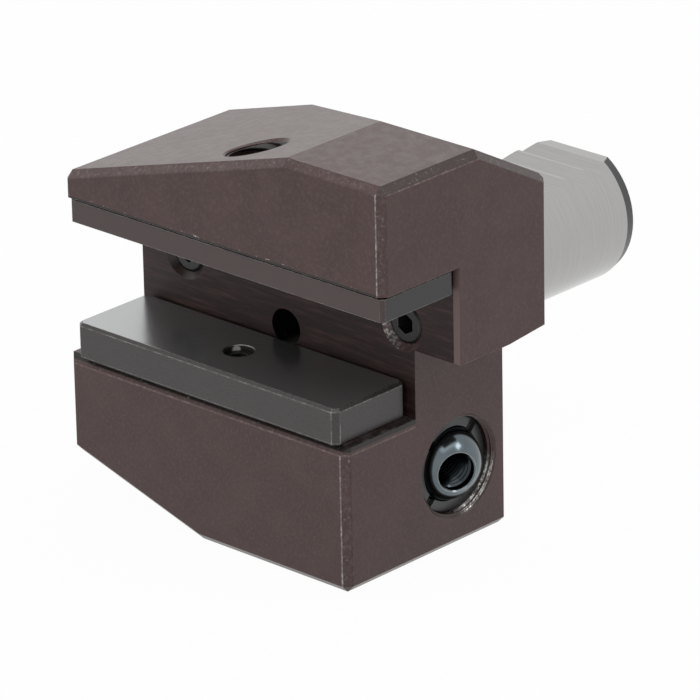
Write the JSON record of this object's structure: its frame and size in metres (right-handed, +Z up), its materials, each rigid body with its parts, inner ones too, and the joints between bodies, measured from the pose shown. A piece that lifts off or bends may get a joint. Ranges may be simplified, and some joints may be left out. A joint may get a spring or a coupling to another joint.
{
  "type": "radial tool holder",
  "caption": "Radial lathe tool holder: toothed cylindrical shank, open slot with clamp bar and seat plate, aimed ball coolant nozzle.",
  "frame": {"origin": "on the shank's axis, in the plane of the flange face that seats on the turret", "axes": "+X along the tool slot to the nozzle side, +Y along the shank away from the tool, +Z up from seat plate to clamp bar"},
  "size_m": [0.0572, 0.0717, 0.0571],
  "materials": {
    "oxide_steel": "brown-black oxide, ground bright on the shank",
    "bar_steel": "black oxide",
    "plate_steel": "hardened, ground and oxidised",
    "screw_steel": "black oxide",
    "spring_steel": "plain",
    "ball_steel": "polished, blue-black oxide",
    "seal_polymer": "plain",
    "seal_rubber": "matt"
  },
  "bodies": {
    "holder": {"holder_body": "oxide_steel", "seat_plate": "plate_steel", "seat_plate_screw": "screw_steel", "slot_plug_left": "screw_steel", "slot_plug_right": "screw_steel", "nozzle_ring": "ball_steel", "flange_seal": "seal_rubber"},
    "clamp_bar": {"clamp_bar": "bar_steel", "bar_snap_ring": "spring_steel", "bar_guide_pin_left": "spring_steel", "bar_guide_pin_right": "spring_steel"},
    "clamp_screw": {"clamp_screw": "screw_steel"},
    "nozzle_seat": {"nozzle_seal": "seal_polymer"},
    "nozzle_ball": {"nozzle_ball": "ball_steel"}
  },
  "joints": [
    {"name": "clamp_bar_slide", "type": "slide", "parent": "holder", "child": "clamp_bar", "axis": [0, 0, -1], "range_m": [0, 0.0021]},
    {"name": "clamp_screw_turn", "type": "hinge", "parent": "clamp_bar", "child": "clamp_screw", "pos_m": [0.002, -0.0242, 0.02], "axis": [0, 0, -1], "range_deg": [0, 604.8]},
    {"name": "nozzle_spin", "type": "hinge", "parent": "holder", "child": "nozzle_seat", "pos_m": [0.0195, -0.0095, -0.0159], "axis": [1, 0, 0], "continuous": true},
    {"name": "nozzle_tilt", "type": "hinge", "parent": "nozzle_seat", "child": "nozzle_ball", "pos_m": [0.0195, -0.0095, -0.0159], "axis": [0, 0, 1], "range_deg": [-3, 22]}
  ],
  "couplings": [
    {"joint": "clamp_screw_turn", "follows": "clamp_bar_slide", "rad_per_m": 5026.6}
  ]
}
